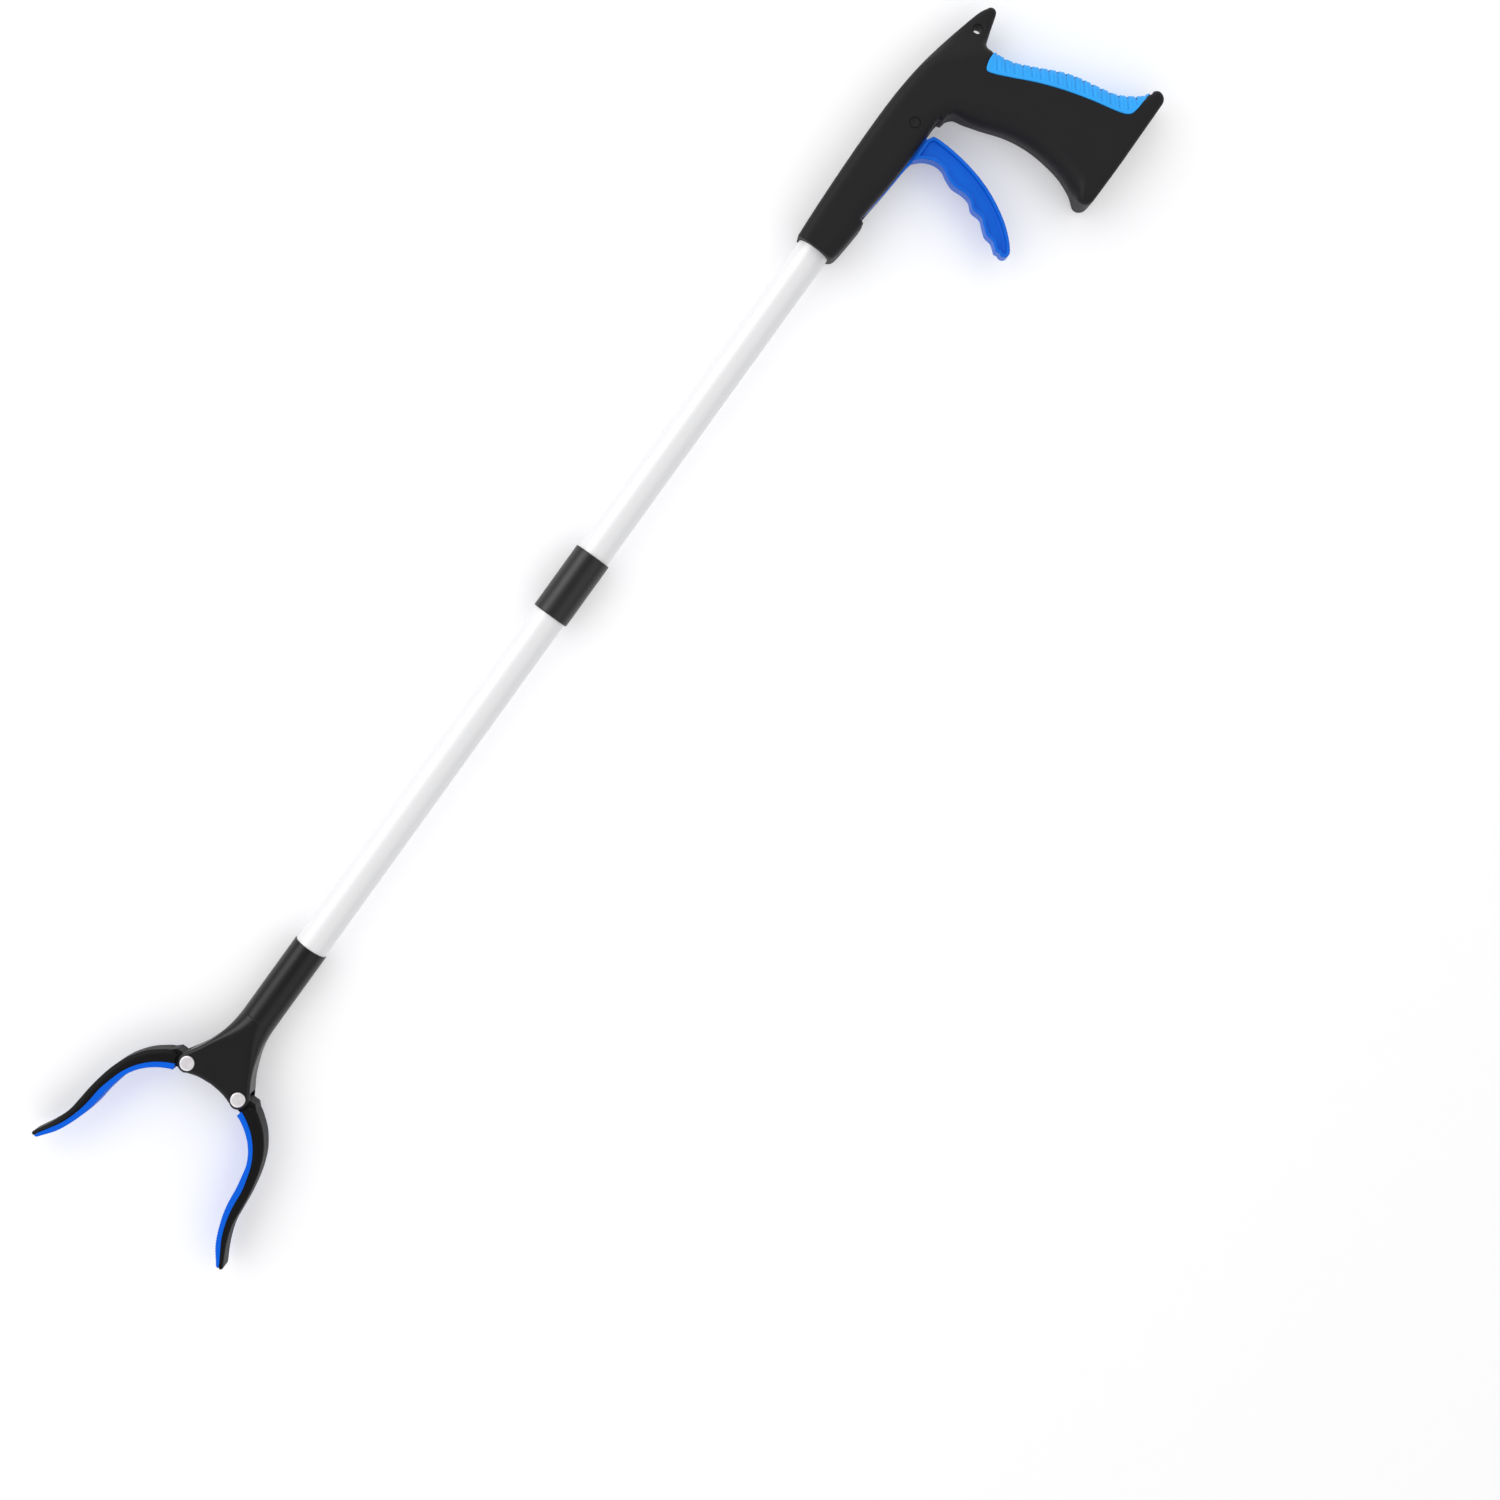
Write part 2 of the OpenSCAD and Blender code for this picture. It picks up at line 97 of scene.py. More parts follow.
def x_span(node):
    """Where a CAD node starts and ends along the pole."""
    low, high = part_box(node)
    return (low.x - ORIGIN.x) / MM, (high.x - ORIGIN.x) / MM


TUBE_R = half_width("upper_tube")
TUBE_WALL = 1.0
FIT = 0.05          # gap round a tube in its seat
HANDLE_HALF = half_height("housing_near")
TAB_HALF = 6.8      # half the thickness of the lanyard tab
LEVER_HALF = half_height("trigger")
HEAD_HALF = half_height("head_housing")
JAW_HALF = half_height("jaw_right")
PIVOT = (-87.7, 5.0)        # the trigger's pin
LANYARD = (-150.4, 2.7)     # the hole in the tab
LANYARD_R = 2.75
JAW_PIVOT = (554.2, 16.9)   # the rivet of the right jaw
SCREWS = ((-36, -7.5), (-109, -5), (-131, 38), (-136, 98))
SCREW_WELL_R, SCREW_WELL_DEPTH = 3.2, 4


# ---------------------------------------------------------------- plane geometry
def curve(points, steps=6):
    """A Catmull-Rom curve through the points."""
    p = np.array(points, float)
    out = []
    for i in range(len(p) - 1):
        a, b = p[max(i - 1, 0)], p[i]
        c, d = p[i + 1], p[min(i + 2, len(p) - 1)]
        for t in np.arange(steps) / steps:
            out.append(0.5 * (2 * b + (c - a) * t + (2 * a - 5 * b + 4 * c - d) * t * t
                              + (3 * b - a - 3 * c + d) * t ** 3))
    out.append(p[-1])
    return np.array(out)


def arc(centre, r, start, end, steps=10):
    """Points on a circle from one angle to another, in degrees."""
    a = np.radians(np.linspace(start, end, steps + 1))
    return np.array(centre) + r * np.stack([np.cos(a), np.sin(a)], 1)


def circle(centre, r, steps=40):
    return arc(centre, r, 0, 360, steps)[:-1]


def joined(*runs):
    return np.concatenate([np.atleast_2d(np.array(r, float)) for r in runs])


def resampled(outline, gap):
    """A closed outline with its points about gap apart, and its corners kept."""
    p = np.array(outline, float)
    out = []
    for a, b in zip(p, np.roll(p, -1, axis=0)):
        length = np.linalg.norm(b - a)
        if length < 1e-6:
            continue
        n = max(1, int(round(length / gap)))
        out += [a + (b - a) * k / n for k in range(n)]
    return np.array(out)


def evenly(line, count):
    """A number of points at equal steps along a line."""
    p = np.array(line, float)
    s = np.r_[0, np.cumsum(np.linalg.norm(np.diff(p, axis=0), axis=1))]
    t = np.linspace(0, s[-1], count)
    return np.stack([np.interp(t, s, p[:, k]) for k in range(2)], 1)


def heading(line):
    """Unit vectors along a line, one for each of its points."""
    step = np.gradient(line, axis=0)
    return step / np.linalg.norm(step, axis=1)[:, None]


def leftward(line):
    """Unit vectors square to a line in the plane, to its left."""
    way = heading(line)
    return np.stack([-way[:, 1], way[:, 0]], 1)


def line_length(line):
    return np.linalg.norm(np.diff(line, axis=0), axis=1).sum()


def distance(points, line):
    """Distance of each point to the nearest place on a line."""
    a, b = line[:-1], line[1:]
    ab = b - a
    best = np.full(len(points), 1e9)
    for k in range(len(a)):
        size = max(ab[k] @ ab[k], 1e-12)
        t = np.clip((points - a[k]) @ ab[k] / size, 0, 1)
        gap = points - a[k] - t[:, None] * ab[k]
        best = np.minimum(best, np.hypot(gap[:, 0], gap[:, 1]))
    return best


def inside(points, outline):
    """Which points lie inside a closed outline."""
    x, y = points[:, 0], points[:, 1]
    odd = np.zeros(len(points), bool)
    for a, b in zip(outline, np.roll(outline, -1, axis=0)):
        if a[1] == b[1]:
            continue
        crosses = (a[1] > y) != (b[1] > y)
        odd ^= crosses & (x < (b[0] - a[0]) * (y - a[1]) / (b[1] - a[1]) + a[0])
    return odd


def quarter(d, r):
    """Height share of a quarter-round edge of radius r at distance d from the edge."""
    t = np.clip(1 - d / r, 0, 1)
    return np.sqrt(1 - t * t)


def smooth(low, high, x):
    """A soft step from 0 at low to 1 at high."""
    t = np.clip((x - low) / (high - low), 0, 1)
    return t * t * (3 - 2 * t)


def signed_area(outline):
    x, y = outline[:, 0], outline[:, 1]
    return 0.5 * np.sum(x * np.roll(y, -1) - np.roll(x, -1) * y)


# ---------------------------------------------------------------- mesh building
SHARP_ANGLE = 38      # edges that turn by more degrees stay sharp


def shade(mesh, sharp=SHARP_ANGLE):
    mesh.shade_smooth()
    mesh.set_sharp_from_angle(angle=math.radians(sharp))


def new_piece(name, points, faces, sharp=SHARP_ANGLE):
    """A mesh object from points in millimetres in the pole's axes."""
    mesh = bpy.data.meshes.new(name)
    place = np.array(points, float) * MM + np.array(ORIGIN)
    mesh.from_pydata(place.tolist(), [], faces)
    mesh.validate()
    shade(mesh, sharp)
    piece = bpy.data.objects.new(name, mesh)
    bpy.context.scene.collection.objects.link(piece)
    return piece


RING_SHARE = 0.93     # a ring's point stays if it is this near to its full depth
HOLE_GAP = 0.08       # free points stay this far from a hole's rim
POINT_GAP = 0.12      # and about this far from each other
ROW_RATIO = 0.866     # height of an even-sided triangle


def net(outline, holes, gap, rings, extra):
    """Triangles over an outline, closer together near its edge and near the extra points."""
    loops = [resampled(outline, gap)]
    loops += [np.array(h, float) for h in holes]
    if signed_area(loops[0]) < 0:
        loops[0] = loops[0][::-1]
    edge = np.vstack([loops[0], loops[0][:1]])
    along = np.roll(loops[0], -1, axis=0) - np.roll(loops[0], 1, axis=0)
    along /= np.linalg.norm(along, axis=1)[:, None]
    inward = np.stack([-along[:, 1], along[:, 0]], 1)
    inner = []
    for depth in rings:
        ring = loops[0] + inward * depth
        keep = inside(ring, loops[0]) & (distance(ring, edge) > RING_SHARE * depth)
        inner.append(ring[keep])
    low, high = loops[0].min(0), loops[0].max(0)
    step = gap * 1.5
    rows = np.arange(low[1], high[1], step * ROW_RATIO)
    grid = np.array([[x + (k % 2) * step / 2, y] for k, y in enumerate(rows)
                     for x in np.arange(low[0], high[0], step)])
    grid = grid[inside(grid, loops[0])]
    grid = grid[distance(grid, edge) > rings[-1] + 0.5 * step]
    inner.append(grid)
    inner += [row[inside(row, loops[0])] for row in extra]
    free = np.concatenate(inner)
    for hole in holes:
        ring = np.vstack([hole, hole[:1]])
        free = free[~inside(free, hole) & (distance(free, ring) > HOLE_GAP)]
    cells = np.unique(np.round(free / POINT_GAP).astype(int), axis=0, return_index=True)[1]
    free = free[np.sort(cells)]
    points, edges = [], []
    for loop in loops:
        first = len(points)
        points += [Vector(p) for p in loop]
        edges += [(first + i, first + (i + 1) % len(loop)) for i in range(len(loop))]
    points += [Vector(p) for p in free]
    verts, _, faces, _, _, _ = delaunay_2d_cdt(points, edges, [], 1, 1e-5)
    flat = np.array([tuple(v) for v in verts])
    tris = np.array([f for f in faces if len(f) == 3])
    middle = flat[tris].mean(1)
    for hole in holes:
        kept = ~inside(middle, hole)
        tris, middle = tris[kept], middle[kept]
    a, b, c = flat[tris[:, 0]], flat[tris[:, 1]], flat[tris[:, 2]]
    turn = (b[:, 0] - a[:, 0]) * (c[:, 1] - a[:, 1]) - (b[:, 1] - a[:, 1]) * (c[:, 0] - a[:, 0])
    tris[turn < 0] = tris[turn < 0][:, ::-1]
    return flat, tris


def rim_edges(tris):
    """The directed edges of a triangle net that have a face on one side only."""
    seen = dict.fromkeys((int(t[k]), int(t[(k + 1) % 3])) for t in tris for k in range(3))
    return [e for e in seen if (e[1], e[0]) not in seen]


def relief(name, outline, top, gap, rings, walls, base=None, holes=(), extra=()):
    """A solid over an outline. top(points) gives its upper height. It is symmetric about the
    mid-plane, or with base it ends in a flat face at that height. The net's points are about
    1.5 gap apart, with closer rings at those depths from the edge, and the walls have that
    many rows of faces."""
    flat, tris = net(outline, holes, gap, rings, extra)
    z = top(flat)
    n = len(flat)
    low = -z if base is None else np.full(n, float(base))
    points = [np.column_stack([flat, z]), np.column_stack([flat, low])]
    faces = [tuple(int(i) for i in t) for t in tris]
    faces += [tuple(i + n for i in t[::-1]) for t in faces]
    rim = rim_edges(tris)
    starts = sorted({a for a, _ in rim})
    order = {v: k for k, v in enumerate(starts)}
    for t in np.linspace(0, 1, walls + 1)[1:-1]:
        points.append(np.column_stack([flat[starts], z[starts] * (1 - t) + low[starts] * t]))

    def at(v, level):
        """The point under the rim's point v at a level of the wall."""
        if level == 0:
            return v
        if level == walls:
            return v + n
        return 2 * n + (level - 1) * len(starts) + order[v]

    for a, b in rim:
        faces += [(at(b, level), at(a, level), at(a, level + 1), at(b, level + 1))
                  for level in range(walls)]
    return new_piece(name, np.concatenate(points), faces)


def mirrored(piece, name, axis):
    """A copy of a piece, mirrored about the pole's own axis along y or z."""
    copy = bpy.data.objects.new(name, piece.data.copy())
    bpy.context.scene.collection.objects.link(copy)
    scale = Matrix.Diagonal([1, -1, 1, 1] if axis == "y" else [1, 1, -1, 1])
    move = Matrix.Translation(ORIGIN)
    copy.data.transform(move @ scale @ move.inverted())
    copy.data.flip_normals()
    return copy


def turned_shape(profile, centre, along, steps, closed):
    """Points and faces of a turned shape: profile is (distance along the axis, radius)."""
    points = []
    for s, r in profile:
        for a in np.linspace(0, 2 * math.pi, steps, endpoint=False):
            u, v = r * math.cos(a), r * math.sin(a)
            points.append((s, u, v) if along == "x" else (u, v, s))
    rows = len(profile)
    faces = []
    for i in range(rows if closed else rows - 1):
        here, there = i * steps, (i + 1) % rows * steps
        for k in range(steps):
            j = (k + 1) % steps
            faces.append((here + k, here + j, there + j, there + k))
    if not closed:
        faces.append(tuple(range(steps))[::-1])
        faces.append(tuple((rows - 1) * steps + k for k in range(steps)))
    return np.array(points) + np.array(centre), faces


def lathe(name, profile, centre=(0, 0, 0), along="x", steps=72, closed=False):
    """A turned piece. A closed profile is a ring, and an open one ends in two flat discs."""
    return fix_normals(new_piece(name, *turned_shape(profile, centre, along, steps, closed)))


def fix_normals(piece):
    """Turns every face outwards."""
    work = bmesh.new()
    work.from_mesh(piece.data)
    bmesh.ops.recalc_face_normals(work, faces=work.faces)
    work.to_mesh(piece.data)
    work.free()
    return piece


def evaluated_mesh(piece):
    """The piece's mesh with its modifiers applied."""
    graph = bpy.context.evaluated_depsgraph_get()
    mesh = bpy.data.meshes.new_from_object(piece.evaluated_get(graph))
    shade(mesh)
    return mesh


def combine(piece, others, operation, solver):
    """Adds a boolean modifier to the piece for each of the others."""
    for other in others:
        change = piece.modifiers.new(operation, "BOOLEAN")
        change.operation = operation
        change.solver = solver
        change.object = other


def cut(piece, *cutters):
    """Takes the cutters out of the piece and deletes them."""
    combine(piece, [fix_normals(cutter) for cutter in cutters], "DIFFERENCE", "MANIFOLD")
    mesh = evaluated_mesh(piece)
    piece.modifiers.clear()
    piece.data = mesh
    for cutter in cutters:
        bpy.data.objects.remove(cutter)
    return piece


def merged(name, pieces):
    """One piece out of several that overlap."""
    combine(pieces[0], pieces[1:], "UNION", "EXACT")
    piece = bpy.data.objects.new(name, evaluated_mesh(pieces[0]))
    bpy.context.scene.collection.objects.link(piece)
    for old in pieces:
        bpy.data.objects.remove(old)
    return piece


def prism(outline, low, high):
    """A plain upright block over an outline, for cutting."""
    loop = np.array(outline, float)
    n = len(loop)
    points = np.concatenate([np.column_stack([loop, np.full(n, float(z))]) for z in (low, high)])
    faces = [tuple(range(n))[::-1], tuple(range(n, 2 * n))]
    faces += [(i, (i + 1) % n, n + (i + 1) % n, n + i) for i in range(n)]
    return new_piece("cutter", points, faces)


def rod(start, end, r, along="x"):
    """A plain bar for cutting, along x, or along z from a point."""
    if along == "x":
        return lathe("cutter", [(start, r), (end, r)])
    return lathe("cutter", [(start[2], r), (end, r)], (start[0], start[1], 0), "z", 48)


# ---------------------------------------------------------------- materials
ROUGH_SPREAD = 0.06
GRAIN_HEIGHT = 0.0002   # metres


def material(name, colour, rough, metallic=0.0, mottle=0.06, mottle_scale=60, grain=0.0,
             grain_scale=900, specular=0.5, stretch=(1, 1, 1), tint=(0.5, 0.5, 0.5)):
    """Moulded or metal surface: uneven colour and roughness, and a fine grain as bump."""
    mat = bpy.data.materials.new(name)
    mat.use_nodes = True
    nodes, links = mat.node_tree.nodes, mat.node_tree.links
    shader = nodes["Principled BSDF"]
    shader.inputs["Metallic"].default_value = metallic
    shader.inputs["Specular IOR Level"].default_value = specular
    place = nodes.new("ShaderNodeTexCoord")
    scale = nodes.new("ShaderNodeMapping")
    scale.inputs["Scale"].default_value = stretch
    links.new(place.outputs["Object"], scale.inputs["Vector"])
    cloud = nodes.new("ShaderNodeTexNoise")
    cloud.inputs["Scale"].default_value = mottle_scale
    cloud.inputs["Detail"].default_value = 5
    links.new(scale.outputs["Vector"], cloud.inputs["Vector"])
    mix = nodes.new("ShaderNodeMix")
    mix.data_type = "RGBA"
    linear = [c ** 2.2 for c in colour]
    mix.inputs["A"].default_value = [c * (1 - mottle) for c in linear] + [1]
    mix.inputs["B"].default_value = [min(1, c * (1 + mottle) + mottle * 0.02 * t)
                                     for c, t in zip(linear, tint)] + [1]
    links.new(cloud.outputs["Fac"], mix.inputs["Factor"])
    links.new(mix.outputs["Result"], shader.inputs["Base Color"])
    spread = nodes.new("ShaderNodeMapRange")
    spread.inputs["To Min"].default_value = rough - ROUGH_SPREAD
    spread.inputs["To Max"].default_value = rough + ROUGH_SPREAD
    links.new(cloud.outputs["Fac"], spread.inputs["Value"])
    links.new(spread.outputs["Result"], shader.inputs["Roughness"])
    if grain:
        fine = nodes.new("ShaderNodeTexNoise")
        fine.inputs["Scale"].default_value = grain_scale
        fine.inputs["Detail"].default_value = 3
        links.new(scale.outputs["Vector"], fine.inputs["Vector"])
        bump = nodes.new("ShaderNodeBump")
        bump.inputs["Strength"].default_value = grain
        bump.inputs["Distance"].default_value = GRAIN_HEIGHT
        links.new(fine.outputs["Fac"], bump.inputs["Height"])
        links.new(bump.outputs["Normal"], shader.inputs["Normal"])
    return mat


LOOKS = {
    "housing": material("moulded_black", (0.115, 0.108, 0.115), 0.55, mottle=0.1, mottle_scale=35,
                        grain=0.35, grain_scale=1500, specular=0.2),
    "head": material("gloss_black", (0.04, 0.038, 0.05), 0.34, mottle=0.12, mottle_scale=50,
                     grain=0.08, grain_scale=700, specular=0.35),
    "jaw": material("jaw_black", (0.05, 0.046, 0.055), 0.5, mottle=0.12, mottle_scale=50,
                    grain=0.15, grain_scale=900, specular=0.15),
    "sleeve": material("sleeve_black", (0.07, 0.06, 0.062), 0.38, mottle=0.1, mottle_scale=50,
                       grain=0.15, grain_scale=900, specular=0.5),
    "pad": material("soft_light_blue", (0.19, 0.62, 0.93), 0.55, mottle=0.07, mottle_scale=70,
                    grain=0.3, grain_scale=1300, specular=0.2),
    "trigger": material("moulded_blue", (0.01, 0.375, 0.8), 0.4, mottle=0.08, mottle_scale=45,
                        grain=0.15, grain_scale=1200, specular=0.2),
    "liner": material("liner_blue", (0.005, 0.36, 0.83), 0.55, mottle=0.08, mottle_scale=70,
                      grain=0.35, grain_scale=1400, specular=0.1),
    "tube": material("satin_aluminium", (0.885, 0.885, 0.89), 0.45, metallic=0.15, mottle=0.02,
                     mottle_scale=90, grain=0.05, grain_scale=500, stretch=(0.03, 1, 1)),
    "rivet": material("plated_rivet", (0.93, 0.915, 0.925), 0.32, metallic=0.7, mottle=0.14,
                      mottle_scale=420, grain=0.25, grain_scale=600, tint=(1, 0.8, 0.8)),
    "steel": material("bright_steel", (0.74, 0.74, 0.76), 0.3, metallic=1.0, mottle=0.06,
                      mottle_scale=300, grain=0.1),
    "acetal": material("natural_acetal", (0.88, 0.88, 0.85), 0.45, mottle=0.03, mottle_scale=80,
                       grain=0.1),
}


def dress(piece, look, body, node):
    """Gives a piece its material and its body, and hides the CAD node that it stands for."""
    piece.data.materials.clear()
    piece.data.materials.append(LOOKS[look])
    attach(piece, body)
    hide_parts(node)
    return piece


# ---------------------------------------------------------------- handle
PAD_INSET = 1.9       # how far the housing lies below the pad along the grip's back
spine = curve([(-2, -10.4), (-5, -11.2), (-30, -12.5), (-66, -13.5), (-99, -13), (-129, -9.4),
               (-155, -3.5), (-162.5, -0.6)])
tab_tip = arc((-162.4, 2.9), 3.1, 260, 100)
tab_side = curve([(-161, 6.6), (-150.4, 9.8), (-145.5, 12), (-144.7, 16.5)])
grip_top = curve([(-145, 17), (-147, 26.5), (-153, 40), (-160.5, 56.7), (-164, 73),
                  (-166.5, 84), (-172, 93.5), (-176.6, 98.4)])
grip_end = joined(arc((-174.3, 102.5), 5, 215, 90, 8),
                  curve([(-152, 107.8), (-132, 108), (-112.5, 107.8)]),
                  arc((-110.2, 102.7), 5, 85, -35, 8))
grip_under = curve([(-107.5, 97), (-112.7, 84), (-115, 66), (-113.4, 50), (-108.5, 35),
                    (-106.3, 26), (-105.5, 20), (-102.5, 17)])
barrel_front = joined([(-98.6, 16.3), (-98.1, 14.2), (-95, 13.9)],
                      curve([(-91, 14), (-70, 14), (-53, 13.4), (-37.5, 12), (-29.4, 11.5)]),
                      [(-28.4, 13.8)], curve([(-25, 14), (-11, 13), (-4.5, 12.1), (-2, 10.4)]))
pad_lower = curve([(-138, 17.6), (-133.4, 19.6), (-134, 24), (-137.7, 32.6), (-143.7, 45.5),
                   (-149, 60), (-153.5, 76), (-156.8, 91), (-159.5, 96.5), (-164, 98)])
pad_zone = joined([(-152, 16.9)], pad_lower, [(-182, 98.2), (-180, 50), (-160, 22)])
under_pad = grip_top - leftward(grip_top) * PAD_INSET
shell_outline = joined(spine, tab_tip, tab_side, under_pad, grip_end, grip_under, barrel_front)
full_outline = joined(spine, tab_tip, tab_side, grip_top, grip_end, grip_under, barrel_front)
TAB_START, TAB_WAY = (-121, -6.3), (-0.695, -0.719)
FRONT_X, FRONT_R = -2, 0.7


def handle_top(p):
    """Height of the handle's face: rounded edges, broad under the grip, and a thin tab."""
    x, y = p[:, 0], p[:, 1]
    past = (x - TAB_START[0]) * TAB_WAY[0] + (y - TAB_START[1]) * TAB_WAY[1]
    level = HANDLE_HALF - (HANDLE_HALF - TAB_HALF) * smooth(-2, 17, past)
    grip = smooth(16, 34, y) * (1 - smooth(94, 102, y))
    radius = 6 + 5 * grip - 2.6 * smooth(96, 103, y) - 2.5 * smooth(4, 17, past)
    z = level - radius + radius * quarter(distance(p, full_outline), radius)
    return z - FRONT_R * (1 - quarter(np.abs(x - FRONT_X), FRONT_R))


SEAT_DEPTH = 1.1      # how far the housing is lowered under the pad
SEAM_DEPTH = 0.45
RING_DEPTH = 0.45     # the groove round the pivot
DIMPLE_DEPTH = 0.35   # the mark at the pivot's centre
BOSS_DEPTH = 0.105    # the disc inside the groove
HOLE_ROUND = 0.5      # the rounding of the lanyard hole's rim


def shell_top(p):
    """The handle's face with the pad's seat and seam, the pivot mark and the lanyard hole's rim."""
    seam = distance(p, pad_lower)
    z = handle_top(p) - SEAT_DEPTH * inside(p, pad_zone) * smooth(0, 0.3, seam)
    z = z - SEAM_DEPTH * (1 - smooth(0.15, 0.55, seam))
    from_pivot = np.hypot(p[:, 0] - PIVOT[0], p[:, 1] - PIVOT[1])
    z = z - RING_DEPTH * smooth(2.55, 2.75, from_pivot) * (1 - smooth(3.1, 3.3, from_pivot))
    z = z - DIMPLE_DEPTH * (1 - smooth(0.3, 1.3, from_pivot))
    z = z - BOSS_DEPTH * (1 - smooth(2.5, 2.8, from_pivot))
    from_hole = np.hypot(p[:, 0] - LANYARD[0], p[:, 1] - LANYARD[1])
    rounding = 1 - quarter(np.abs(from_hole - LANYARD_R), HOLE_ROUND)
    return z - HOLE_ROUND * rounding * (from_hole < LANYARD_R + HOLE_ROUND)


def seam_points():
    """Rows of points on both sides of the pad's seam, so that its groove is sharp."""
    line = evenly(pad_lower, 190)
    return [line + leftward(line) * d for d in (-0.8, -0.5, -0.3, -0.1, 0.1, 0.3, 0.6)]


PARTING = 0.04        # half the gap between the two shells
WEB_ROOM = 2.9        # half the width of the slot that the lever's web swings in
WORKS_ROOM = 10       # half the depth of the room for the web, the roller and the cable
HOLE_STEPS = 48       # points round the lanyard hole and round its rings


def handle_shell():
    """The near half of the housing, with room for the lever's web, the works and the tube."""
    rings = [circle(PIVOT, r, 36) for r in (0.3, 0.8, 1.3, 1.9, 2.5, 2.65, 2.8, 3.1, 3.3, 3.8)]
    rings += [circle(LANYARD, LANYARD_R + d, HOLE_STEPS) for d in (0.12, 0.3, 0.55, 1)]
    shell = relief("handle_shell_near", shell_outline, shell_top, gap=1.0,
                   rings=(0.12, 0.4, 0.9, 1.6, 2.5, 3.6, 5, 7, 9), walls=8, base=PARTING,
                   holes=[circle(LANYARD, LANYARD_R, HOLE_STEPS)], extra=rings + seam_points())
    slot = prism([(-98.2, 7), (-98.2, 20), (-29.5, 20), (-29.5, 7)], -1, WEB_ROOM)
    room = prism([(-112, -8), (-27, -9.2), (-27, 8.5), (-50, 9), (-99, 9), (-112, 9)],
                 -1, WORKS_ROOM)
    return cut(shell, slot, room, rod(-29, 4, TUBE_R + FIT))


near_shell = handle_shell()
far_shell = mirrored(near_shell, "handle_shell_far", "z")
far_shell = cut(far_shell, *[rod((x, y, -HANDLE_HALF - 1), SCREW_WELL_DEPTH - HANDLE_HALF,
                                 SCREW_WELL_R, "z") for x, y in SCREWS])
dress(near_shell, "housing", "pole", "housing_near")
dress(far_shell, "housing", "pole", "housing_far")


PAD_STATIONS = 420      # points along the pad
PAD_ROWS = 46           # rows of points from a seam to the grip's back
PAD_WALL_ROWS = 8       # and on down to the mid-plane
PAD_THICK = 1.4
RIB_WAY = (-0.586, 0.81)      # the direction square to the ribs
RIB_START, RIB_PITCH = 105, 4.72
GROOVE_DEPTH, CREASE_DEPTH = 0.75, 0.3
PAD_EDGE_R, PAD_EDGE_DROP = 0.6, 0.55


def pad_surface():
    """Rows of points over the pad, from the near seam over the grip's back to the far seam."""
    top_line, seam_line = evenly(grip_top, PAD_STATIONS), evenly(pad_lower, PAD_STATIONS)
    shares = 1 - (np.linspace(0, 1, PAD_ROWS) ** 1.5)[::-1]
    lines = [seam_line + (top_line - seam_line) * share for share in shares]
    rows = [np.column_stack([line, handle_top(line)]) for line in lines]
    edge_z = rows[-1][:, 2]
    rows += [np.column_stack([top_line, edge_z * (1 - k / PAD_WALL_ROWS)])
             for k in range(1, PAD_WALL_ROWS)]
    return np.array(rows + [row * (1, 1, -1) for row in rows[::-1]])


def pad_relief(grid):
    """Height of the pad's points over its plain surface: ribs inside a border, and round edges."""
    from_seam = distance(grid[:, :, :2].reshape(-1, 2), pad_lower).reshape(grid.shape[:2])
    length = line_length(evenly(grip_top, PAD_STATIONS))
    s = np.linspace(0, length, PAD_STATIONS)
    from_ends = np.minimum(s, length - s)[None, :]
    ribbed = smooth(1.9, 2.6, from_seam) * smooth(1.6, 2.4, from_ends)
    place = RIB_WAY[1] * grid[:, :, 1] + RIB_WAY[0] * grid[:, :, 0] - RIB_START
    groove = np.abs(np.cos(math.pi * place / RIB_PITCH)) ** 6
    crease = np.abs(np.sin(math.pi * place / RIB_PITCH)) ** 14
    edge = quarter(from_seam, PAD_EDGE_R) * quarter(np.maximum(from_ends, 0.001), PAD_EDGE_R)
    return (-ribbed * (GROOVE_DEPTH * groove + CREASE_DEPTH * crease)
            - PAD_EDGE_DROP * (1 - edge))


def slab_faces(rows, columns):
    """Faces of a closed slab: a grid of outer points, then one of inner points."""
    inner, last, last_row = rows * columns, columns - 1, (rows - 1) * columns
    faces = []
    for i in range(rows - 1):
        for k in range(last):
            a, b = i * columns + k, (i + 1) * columns + k
            faces.append((a, a + 1, b + 1, b))
            faces.append((inner + a, inner + b, inner + b + 1, inner + a + 1))
    border = [(k, k + 1) for k in range(last)]
    border += [(last_row + k + 1, last_row + k) for k in range(last)]
    border += [((i + 1) * columns, i * columns) for i in range(rows - 1)]
    border += [(i * columns + last, (i + 1) * columns + last) for i in range(rows - 1)]
    return faces + [(a, inner + a, inner + b, b) for a, b in border]


def grip_cover():
    """The ribbed pad, wrapped round the grip's back from seam to seam."""
    grid = pad_surface()
    normal = np.cross(np.gradient(grid, axis=1), np.gradient(grid, axis=0))
    normal /= np.maximum(np.linalg.norm(normal, axis=2), 1e-9)[:, :, None]
    outer = grid + normal * pad_relief(grid)[:, :, None]
    inner = outer - normal * PAD_THICK
    points = np.concatenate([outer.reshape(-1, 3), inner.reshape(-1, 3)])
    return fix_normals(new_piece("grip_cover", points, slab_faces(*grid.shape[:2]), 50))


dress(grip_cover(), "pad", "pole", "grip_pad")

